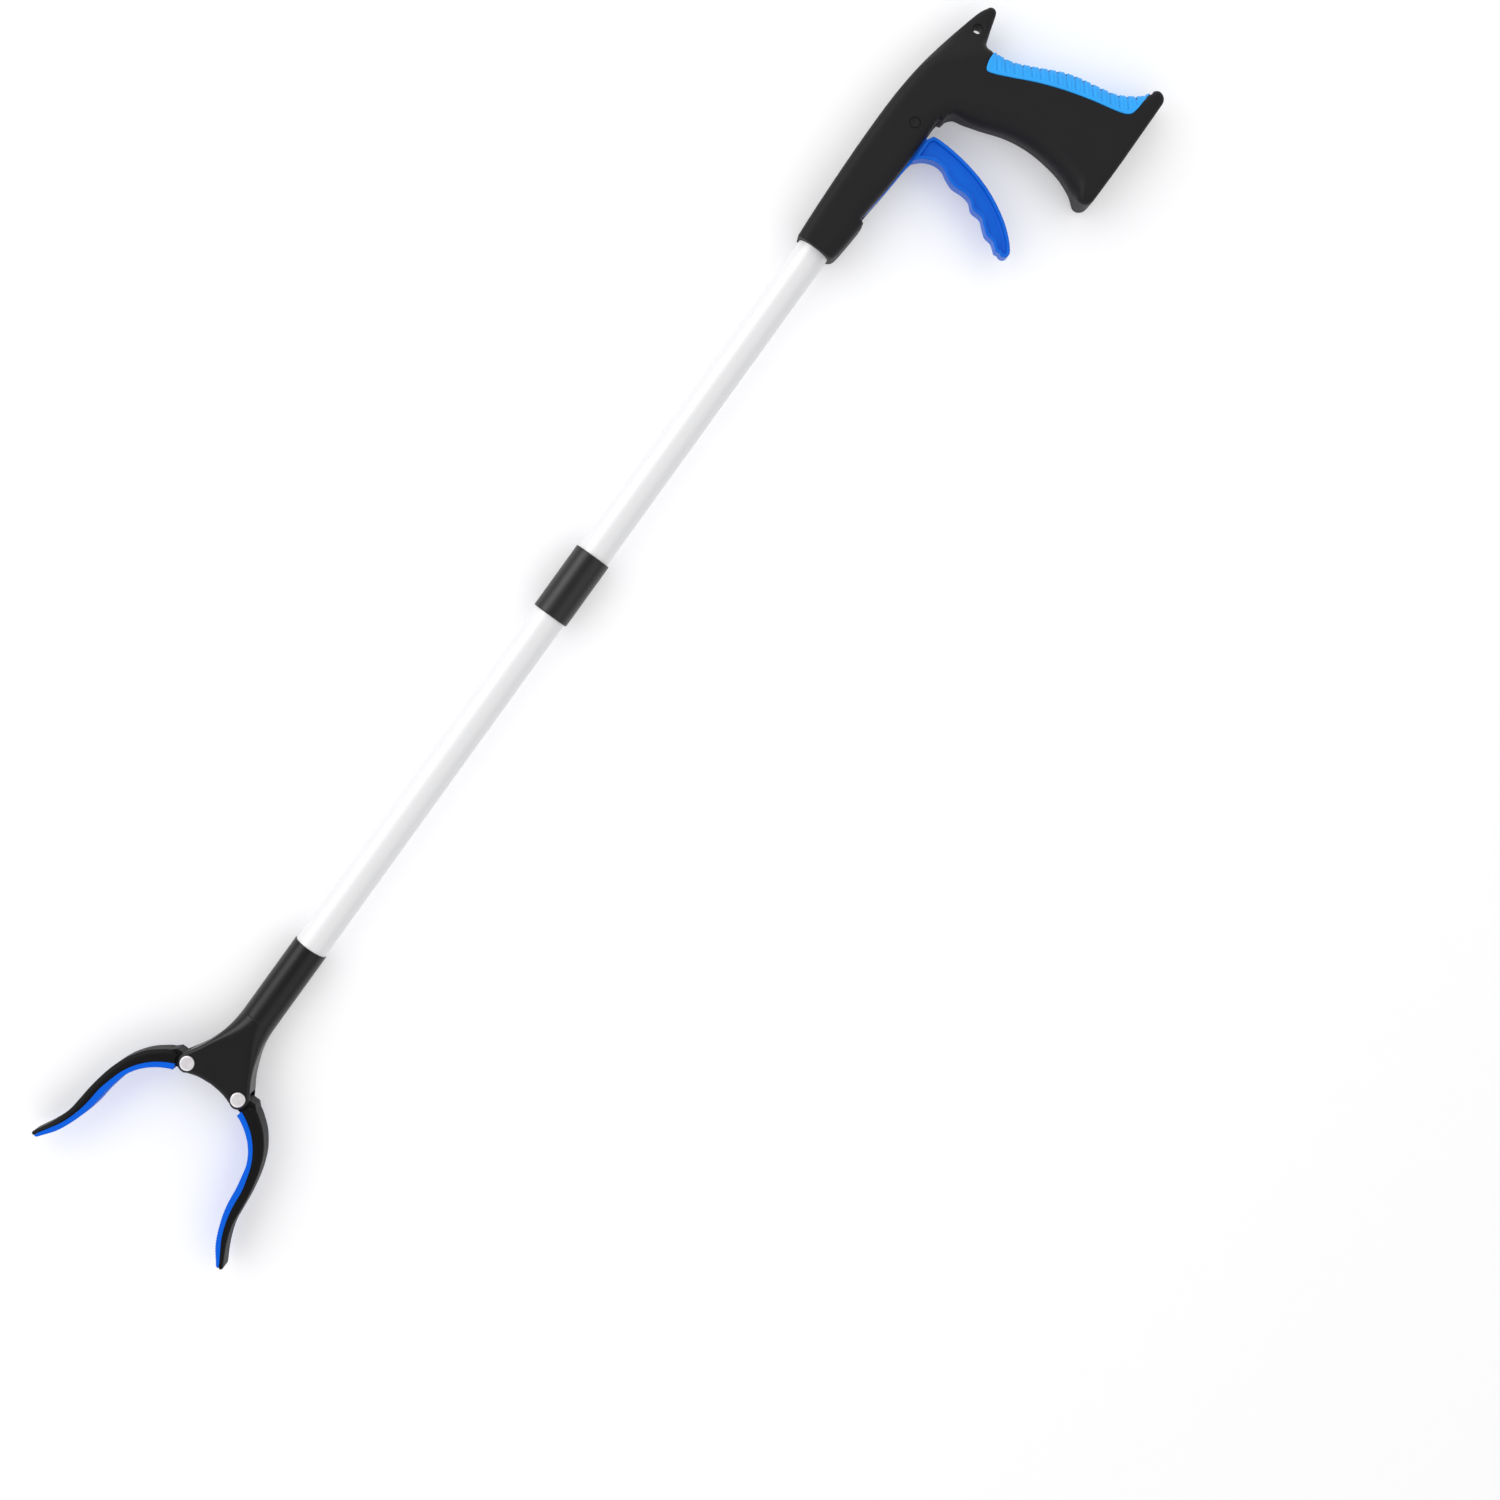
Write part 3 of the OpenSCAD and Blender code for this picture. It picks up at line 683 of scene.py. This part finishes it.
# ---------------------------------------------------------------- trigger
lever_top = curve([(-89.5, 17), (-90, 22), (-89.3, 33), (-87.3, 45), (-84, 56.5), (-79.3, 67),
                   (-73.5, 76.5), (-67.5, 83.5), (-63.2, 87.2)])
lever_tip = arc((-61.1, 85), 2.9, 130, -40, 12)
lever_under = curve([(-58.6, 80.8), (-60.4, 78.6), (-62.2, 76), (-63, 71.5), (-66, 67.5),
                     (-69.1, 63.5), (-69.7, 57.5), (-73.3, 53), (-74.3, 48), (-74.1, 41.5),
                     (-76.1, 36), (-78.7, 31), (-78.7, 25), (-76.2, 19.5), (-72.2, 15.4)])
lever_outline = joined([(-86, 15.2)], lever_top, lever_tip, lever_under)
web_outline = joined([(-86, 15.4), (-89, 13.4), (-94.5, 9), (-94.5, 1), (-90, -2), (-83, -1.5),
                      (-76, 5.8), (-66, 5.8), (-64, 7.1), (-60, 9.4), (-32, 9.4), (-31.5, 11.2)],
                     curve([(-34, 11.6), (-39, 12.2), (-53, 13.8), (-66, 14.7), (-74, 16.2)]))
WEB_HALF = 2.5
RIM = 1.7             # width of the lever's rim
RIM_OUTER_R, RIM_INNER_R = 0.6, 0.3
PANEL = 2.7           # half the thickness between the two recessed panels
FILLET_R, FILLET_RISE = 1.2, 0.8
PIVOT_BORE_R = 2.55
SLIT_HALF = 1.1       # half the slit that the cable's end is held in


def lever_height(p):
    """A rounded rim round a recessed side panel."""
    d = distance(p, np.vstack([lever_outline, lever_outline[:1]]))
    z = LEVER_HALF - RIM_OUTER_R + RIM_OUTER_R * quarter(d, RIM_OUTER_R)
    inner = RIM_INNER_R * (1 - quarter(np.abs(RIM - np.minimum(d, RIM)), RIM_INNER_R))
    sink = smooth(RIM, RIM + 0.5, d) * (LEVER_HALF - PANEL)
    past_rim = d - RIM - 0.3
    fillet = FILLET_RISE * (1 - quarter(np.maximum(past_rim, 0), FILLET_R)) * (past_rim > 0)
    return z - inner * (d < RIM) - sink + fillet


lever_rings = (0.08, 0.2, 0.4, 0.65, 1.1, 1.45, 1.6, RIM, 1.8, 1.9, 2.0, 2.1, 2.25, 2.5, 2.9, 3.5)
lever = relief("lever", lever_outline, lever_height, gap=0.6, rings=lever_rings, walls=10)
web = relief("web", web_outline, lambda p: np.full(len(p), WEB_HALF), gap=1.5,
             rings=(0.5, 1.5), walls=3)
trigger = merged("trigger_lever", [lever, web])
trigger = cut(trigger, rod((*PIVOT, -5), 5, PIVOT_BORE_R, "z"),
              prism([(-66, 4), (-61, 4), (-61, 10.4), (-66, 10.4)], -SLIT_HALF, SLIT_HALF))
dress(trigger, "trigger", "trigger", "trigger")

# ---------------------------------------------------------------- pole
def pipe(name, x0, x1, outer, inner, round_r):
    """An open tube with rounded end edges."""
    left = [(x0 + round_r * (1 - math.cos(a)), outer - round_r * (1 - math.sin(a)))
            for a in np.radians((0, 30, 60, 90))]
    right = [(x0 + x1 - x, r) for x, r in reversed(left)]
    xs = [float(x) for x in np.linspace(x0 + round_r + 1, x1 - round_r - 1, 24)]
    profile = left + [(x, outer) for x in xs] + right + [(x1, inner), (x0, inner)]
    return lathe(name, profile, closed=True, steps=96)


for node in ("upper_tube", "lower_tube"):
    tube = pipe("pole_" + node, *x_span(node), TUBE_R, TUBE_R - TUBE_WALL, 0.15)
    dress(tube, "tube", "pole", node)
sleeve = pipe("lock_sleeve", *x_span("joint_sleeve"), half_width("joint_sleeve"),
              TUBE_R + FIT, 0.5)
dress(sleeve, "sleeve", "sleeve", "joint_sleeve")

# ---------------------------------------------------------------- head
COLLAR_X = x_span("head_housing")[0]
COLLAR_ROUND = 9.97       # edge radius of the neck, which makes it round
CHEEK_DROP = 7.87         # how much smaller that radius is on the cheeks
LIP_R = 0.4
WITNESS_X, WITNESS_DEPTH = 514.5, 0.12
NECK_BORE_R = 7.2
flare = curve([(COLLAR_X, 10), (490, 10), (512, 10), (518, 10.1), (524.1, 10.7), (530.3, 12.1),
               (537, 14.3), (542.9, 17), (548, 20.1)])
cheek_corner = arc(JAW_PIVOT, 5.9, 125, -10, 14)
cheek_bottom = curve([(559, 14), (557.2, 8), (556.4, 0)])
head_side = joined(flare, cheek_corner, cheek_bottom)
flip = np.array([1, -1])
head_outline = joined(head_side, (head_side * flip)[::-1][1:])


def head_height(p):
    """Round at the collar, turning into two flat cheeks with a small edge radius."""
    x = p[:, 0]
    radius = COLLAR_ROUND - CHEEK_DROP * smooth(512, 541, x)
    d = np.minimum(distance(p, head_side), distance(p, head_side * flip))
    z = HEAD_HALF - radius + radius * quarter(d, radius)
    lip = LIP_R * (1 - quarter(np.abs(x - COLLAR_X), LIP_R)) * (x < COLLAR_X + 1)
    witness = WITNESS_DEPTH * (1 - smooth(0.1, 0.4, np.abs(x - WITNESS_X)))
    return z - lip - witness


def head():
    """The head, hollow for the jaws' arms, with bores for the tube and the spring."""
    mark_x = [WITNESS_X + d for d in (-0.4, -0.15, 0, 0.15, 0.4)]
    mark_x += [COLLAR_X + d for d in (0.1, 0.25, 0.45)]
    marks = [np.column_stack([np.full(60, x), np.linspace(-9.9, 9.9, 60)]) for x in mark_x]
    piece = relief("gripper_head", head_outline, head_height, gap=0.9,
                   rings=(0.02, 0.08, 0.18, 0.32, 0.5, 0.75, 1.05, 1.4, 1.85, 2.4, 3.1, 4, 5.2,
                          6.6, 8), extra=marks, walls=10)
    room = [(523.5, 0), (523.5, 8.4), (531, 9.8), (537, 11.8), (543, 14.4), (548, 18.4),
            (550, 30), (570, 30)]
    room = joined(room, (np.array(room) * flip)[::-1])
    return cut(piece, prism(room[1:-1], -7.6, 7.6), rod(COLLAR_X - 2, 507, TUBE_R + FIT),
               rod(510.5, 530.5, NECK_BORE_R))


dress(head(), "head", "pole", "head_housing")


RIVET_HEAD_R, RIVET_RISE, RIVET_SHANK_R = 4.1, 1.45, 2.0
DOME_START = 0.6      # height at which the head's side turns into its dome


def rivet_caps():
    """Both rivets: a shank with a low domed head at each end."""
    r, foot = RIVET_HEAD_R, HEAD_HALF
    half = [(foot + 0.02, RIVET_SHANK_R), (foot + 0.02, r - 0.1), (foot + 0.25, r),
            (foot + DOME_START, r)]
    half += [(foot + DOME_START + (RIVET_RISE - DOME_START) * math.sin(a),
              r * (1 - 0.14 * (1 - math.cos(a)))) for a in np.radians((20, 45, 65, 80))]
    half += [(foot + RIVET_RISE, r * 0.7), (foot + RIVET_RISE + 0.02, r * 0.35),
             (foot + RIVET_RISE + 0.02, 0.02)]
    profile = [(-s, q) for s, q in reversed(half)] + half
    (left, faces), (right, _) = [
        turned_shape(profile, (JAW_PIVOT[0], side * JAW_PIVOT[1], 0), "z", 64, False)
        for side in (-1, 1)]
    faces = faces + [tuple(i + len(left) for i in face) for face in faces]
    return fix_normals(new_piece("rivet_caps", np.concatenate([left, right]), faces))


dress(rivet_caps(), "rivet", "pole", "jaw_rivets")

# ---------------------------------------------------------------- jaws
JAW_SWING, STROKE = 39, 12      # the jaw turns by 39 degrees over 12 mm of the pin's travel
PIN_X = 549.9                   # the crosshead's pin with the jaws open
EYE_R, EYE_HALF = 5.4, 7.2
ARM_R, ARM_END_R = 4.5, 3.5
ARM_LAYER = (0.4, 3.4)          # the arms of the two jaws lie one above the other
SLOT_HALF = 1.55
RIVET_BORE_R = 2.05
JAW_ROUND, JAW_CHAMFER = 2.0, 0.35
jaw_outer = curve([(553.6, 24.3), (553.3, 26.4), (554.5, 29.6), (556.8, 33), (560.8, 37.9),
                   (565.3, 41.8), (570.3, 45.1), (575.8, 47.6), (583.6, 50.1), (594.5, 52.2),
                   (605, 53.3), (611.7, 54.1), (618.7, 56.2), (625.4, 59.1), (631, 62.1)])
jaw_tip = arc((634.1, 62.4), 1.2, 118, -50, 10)
jaw_seam = curve([(634.7, 61.5), (632, 60.4), (626.6, 57.1), (619.7, 53.2), (611.3, 50.2),
                  (602.9, 48.5), (593.9, 47.6), (586.4, 45.8), (578.9, 43.3), (571.6, 39.1),
                  (565.4, 33.4), (561.1, 27.3), (558.6, 22.3)])
liner_in = curve([(634.9, 60.9), (634.6, 59.9), (632.6, 58.2), (626, 53.2), (618.9, 49.7),
                  (610.6, 46.8), (602.4, 45), (594.3, 44.1), (586.1, 42.5), (580.6, 41.1),
                  (575.2, 38.3), (570.6, 34.6), (566.5, 29.8), (563.4, 24.7), (562, 21.4)])
wide_start = arc(JAW_PIVOT, 6.95, 54, 94, 10)
jaw_outline = joined(jaw_outer, jaw_tip, jaw_seam, wide_start)
jaw_soft = joined(jaw_outer, jaw_tip)


def turned(p, degrees):
    """A point turned about the origin of the plane."""
    a = math.radians(degrees)
    return np.array([p[0] * math.cos(a) - p[1] * math.sin(a),
                     p[0] * math.sin(a) + p[1] * math.cos(a)])


def cam_at(s):
    """Where the crosshead's pin is in the jaw's own frame after a travel of s."""
    arm = (PIN_X - s - JAW_PIVOT[0], -JAW_PIVOT[1])
    return np.array(JAW_PIVOT) + turned(arm, JAW_SWING * s / STROKE)


def hull_2d(points):
    """The convex outline round some points."""
    pts = sorted(map(tuple, points))

    def half(run):
        out = []
        for p in run:
            while len(out) > 1 and ((out[-1][0] - out[-2][0]) * (p[1] - out[-2][1])
                                    - (out[-1][1] - out[-2][1]) * (p[0] - out[-2][0])) <= 0:
                out.pop()
            out.append(p)
        return out[:-1]

    return np.array(half(pts) + half(pts[::-1]))


def jaw_height(p):
    """Well rounded along the outside, and just broken along the liner's side."""
    edge = distance(p, np.vstack([jaw_outline, jaw_outline[:1]]))
    z = JAW_HALF - JAW_CHAMFER * (1 - quarter(edge, JAW_CHAMFER))
    return z - JAW_ROUND * (1 - quarter(distance(p, jaw_soft), 1.5 * JAW_ROUND))


def curved_slot(path, half):
    """A curved slot's cutter: both sides of the path, with a round end at each end."""
    side = leftward(path) * half

    def cap(centre, edge):
        start = math.degrees(math.atan2(edge[1], edge[0]))
        return arc(centre, half, start, start - 180)[1:-1]

    return prism(joined(path + side, cap(path[-1], side[-1]),
                        (path - side)[::-1], cap(path[0], -side[0])), -8, 8)


def jaw(name, layer):
    """The finger, its eye round the rivet, and the slotted arm on one side of the mid-plane."""
    finger = relief("finger", jaw_outline, jaw_height, gap=0.8,
                    rings=(0.05, 0.15, 0.3, 0.5, 0.8, 1.2, 1.7, 2.3, 3.0), walls=8)
    eye = relief("eye", joined(arc(JAW_PIVOT, EYE_R, -120, 20, 14),
                               [(560.6, 26.5), (556.5, 31), (551.5, 26)]),
                 lambda p: np.full(len(p), EYE_HALF), gap=1, rings=(0.5, 1.5), walls=3)
    arm_line = hull_2d(joined(circle(JAW_PIVOT, ARM_R), circle(cam_at(0), ARM_END_R),
                              circle(cam_at(STROKE), ARM_END_R)))
    arm = prism(arm_line, *sorted(layer * z for z in ARM_LAYER))
    piece = merged(name, [finger, eye, arm])
    path = np.array([cam_at(s) for s in np.linspace(0, STROKE, 17)])
    return cut(piece, rod((*JAW_PIVOT, -12), 12, RIVET_BORE_R, "z"), curved_slot(path, SLOT_HALF))


LINER_SINK = (0.05, -0.08)      # keeps the liner's back just inside the jaw
LINER_EDGE_R = 0.35
RIDGE_PITCH, RIDGE_DEPTH = 1.5, 0.28


def liner(name):
    """The rubber lining, with fine ridges across its inner face near the tip."""
    stations, across = 300, 18
    back = evenly(jaw_seam + LINER_SINK, stations)
    face = evenly(liner_in, stations)
    out = face - back
    out /= np.linalg.norm(out, axis=1)[:, None]
    s = np.linspace(0, line_length(face), stations)
    ridge_zone = smooth(1.5, 3, s) * (1 - smooth(24, 30, s))
    ridges = RIDGE_DEPTH * ridge_zone * (np.abs(np.cos(math.pi * s / RIDGE_PITCH)) ** 0.8 - 1)
    levels = np.linspace(-1, 1, across)
    levels = np.sign(levels) * (1 - (1 - np.abs(levels)) ** 1.3)
    rows = []
    for level in levels:
        edge = LINER_EDGE_R * (1 - quarter(JAW_HALF * (1 - abs(level)), LINER_EDGE_R))
        rows.append(np.column_stack([face + out * (ridges - edge)[:, None],
                                     np.full(stations, level * JAW_HALF)]))
    rows += [np.column_stack([back, np.full(stations, level * JAW_HALF)]) for level in (1, -1)]
    n = len(rows)
    faces = []
    for i in range(n):
        here, there = i * stations, (i + 1) % n * stations
        faces += [(here + k, here + k + 1, there + k + 1, there + k) for k in range(stations - 1)]
    faces.append(tuple(i * stations for i in range(n)))
    faces.append(tuple(i * stations + stations - 1 for i in reversed(range(n))))
    return fix_normals(new_piece(name, np.concatenate(rows), faces, 40))


right_jaw = jaw("jaw_shell_right", 1)
left_source = jaw("left_source", -1)
left_jaw = mirrored(left_source, "jaw_shell_left", "y")
bpy.data.objects.remove(left_source)
right_liner = liner("jaw_liner_right")
left_liner = mirrored(right_liner, "jaw_liner_left", "y")
for side, shell, lining in (("right", right_jaw, right_liner), ("left", left_jaw, left_liner)):
    dress(shell, "jaw", "jaw_" + side, "jaw_" + side)
    dress(lining, "liner", "jaw_" + side, "liner_" + side)


# ---------------------------------------------------------------- spring and cable end
def swept(name, path, r, sides=10):
    """A round wire along a path of points."""
    p = np.array(path, float)
    along = heading(p)
    points = []
    guide = np.array([0.0, 0.0, 1.0])
    if abs(along[0] @ guide) > 0.9:
        guide = np.array([0.0, 1.0, 0.0])
    for q, d in zip(p, along):
        guide = guide - d * (guide @ d)
        guide /= np.linalg.norm(guide)
        other = np.cross(d, guide)
        for a in np.linspace(0, 2 * math.pi, sides, endpoint=False):
            points.append(q + r * (guide * math.cos(a) + other * math.sin(a)))
    faces = []
    for i in range(len(p) - 1):
        here, there = i * sides, (i + 1) * sides
        for k in range(sides):
            j = (k + 1) % sides
            faces.append((here + k, here + j, there + j, there + k))
    faces.append(tuple(range(sides))[::-1])
    faces.append(tuple((len(p) - 1) * sides + k for k in range(sides)))
    return fix_normals(new_piece(name, points, faces, 60))


SPRING = x_span("return_spring")
WIRE_R, COIL_R, COILS = 0.55, 5.6, 7
turns = np.linspace(0, 2 * math.pi * COILS, 40 * COILS)
coil = np.column_stack([np.linspace(SPRING[0] + WIRE_R, SPRING[1] - WIRE_R, len(turns)),
                        COIL_R * np.cos(turns), COIL_R * np.sin(turns)])
spring = dress(swept("neck_spring", coil, WIRE_R), "steel", "pole", "return_spring")
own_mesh(spring)

# The cable goes a quarter of the way round the guide roller and then straight to its anchor
ROLLER, WRAP_R = (-59.4, 3.8), 3.8
CABLE_R = 0.6
tail_path = [(*p, 0) for p in arc(ROLLER, WRAP_R, 270, 180, 12)]
tail_path += [(ROLLER[0] - WRAP_R, ROLLER[1] + d, 0) for d in (0.8, 1.6, 2.4, 3.2, 3.8)]
tail = swept("cable_end", tail_path, CABLE_R)
tail.data.materials.append(LOOKS["steel"])
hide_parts("cable_tail")
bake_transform(tail)

# ---------------------------------------------------------------- remaining CAD nodes
for entry in frame["record"]["subparts"]:
    node = frame["nodes"][entry["node"]]
    if not node.hide_render:
        node.data.materials.clear()
        node.data.materials.append(LOOKS[entry["material_slot"]])


# ---------------------------------------------------------------- floor, light and camera
def lamp(name, place, aim, size, power):
    """A soft rectangular light without a shadow, turned towards aim. Places are in metres."""
    data = bpy.data.lights.new(name, "AREA")
    data.shape = "RECTANGLE"
    data.size, data.size_y = size
    data.energy = power
    data.use_shadow = False
    light = bpy.data.objects.new(name, data)
    bpy.context.scene.collection.objects.link(light)
    light.location = place
    light.rotation_euler = (Vector(aim) - Vector(place)).to_track_quat("-Z", "Y").to_euler()


def studio():
    """A pale floor just below the part, a bright dome and one lamp."""
    floor_mesh = bpy.data.meshes.new("floor")
    far = 6     # metres from the middle to the floor's edges
    floor_mesh.from_pydata([(-far, -far, 0), (far, -far, 0), (far, far, 0), (-far, far, 0)], [],
                           [(0, 1, 2, 3)])
    floor = bpy.data.objects.new("floor", floor_mesh)
    floor.location.z = cad_box[0][2] - 0.0005
    bpy.context.scene.collection.objects.link(floor)
    floor_mesh.materials.append(material("pale_floor", (0.975, 0.975, 0.98), 0.7, mottle=0.004))
    world = bpy.data.worlds.new("studio")
    world.use_nodes = True
    nodes, links = world.node_tree.nodes, world.node_tree.links
    # A white dome that is dimmer near the horizon and straight overhead
    direction = nodes.new("ShaderNodeTexCoord")
    parts = nodes.new("ShaderNodeSeparateXYZ")
    level = nodes.new("ShaderNodeValToRGB")
    ramp = level.color_ramp
    ramp.interpolation = "EASE"
    for place, grey in ((0.1, 0.4), (0.5, 1), (0.86, 0.95), (0.97, 0.35)):
        stop = ramp.elements.new(place)
        stop.color = (grey, grey, grey, 1)
    for end in (0, -1):     # the two stops that a new ramp starts with
        ramp.elements.remove(ramp.elements[end])
    links.new(direction.outputs["Generated"], parts.inputs["Vector"])
    links.new(parts.outputs["Z"], level.inputs["Fac"])
    links.new(level.outputs["Color"], nodes["Background"].inputs["Color"])
    nodes["Background"].inputs["Strength"].default_value = 1.1
    bpy.context.scene.world = world
    # The key light stands beyond the pole's far side, low and long, for its streak of light
    lamp("key", (-0.1, -1.5, 1.3), (0.1, 0, 0), (2.0, 1.2), 18)


def camera():
    """Straight down on the grabber, which lies across the picture from corner to corner."""
    axis_x, axis_y, height = 223.5, 77.4, 1280.8      # its place in the pole's axes
    right = Vector((-0.5850, 0.8110, 0)).normalized()
    up = Vector((0, 0, 1)).cross(right)
    data = bpy.data.cameras.new("camera")
    data.sensor_width = 36
    data.lens = 56.4
    data.shift_x = 0.0424
    data.shift_y = -0.0538
    data.clip_start = 0.01
    data.clip_end = 20
    view = bpy.data.objects.new("camera", data)
    bpy.context.scene.collection.objects.link(view)
    turn = Matrix((right, up, Vector((0, 0, 1)))).transposed()
    view.matrix_world = Matrix.Translation(
        ORIGIN + Vector((axis_x, axis_y, height)) * MM) @ turn.to_4x4()
    bpy.context.scene.camera = view


studio()
camera()
bpy.context.scene.view_settings.view_transform = "Standard"
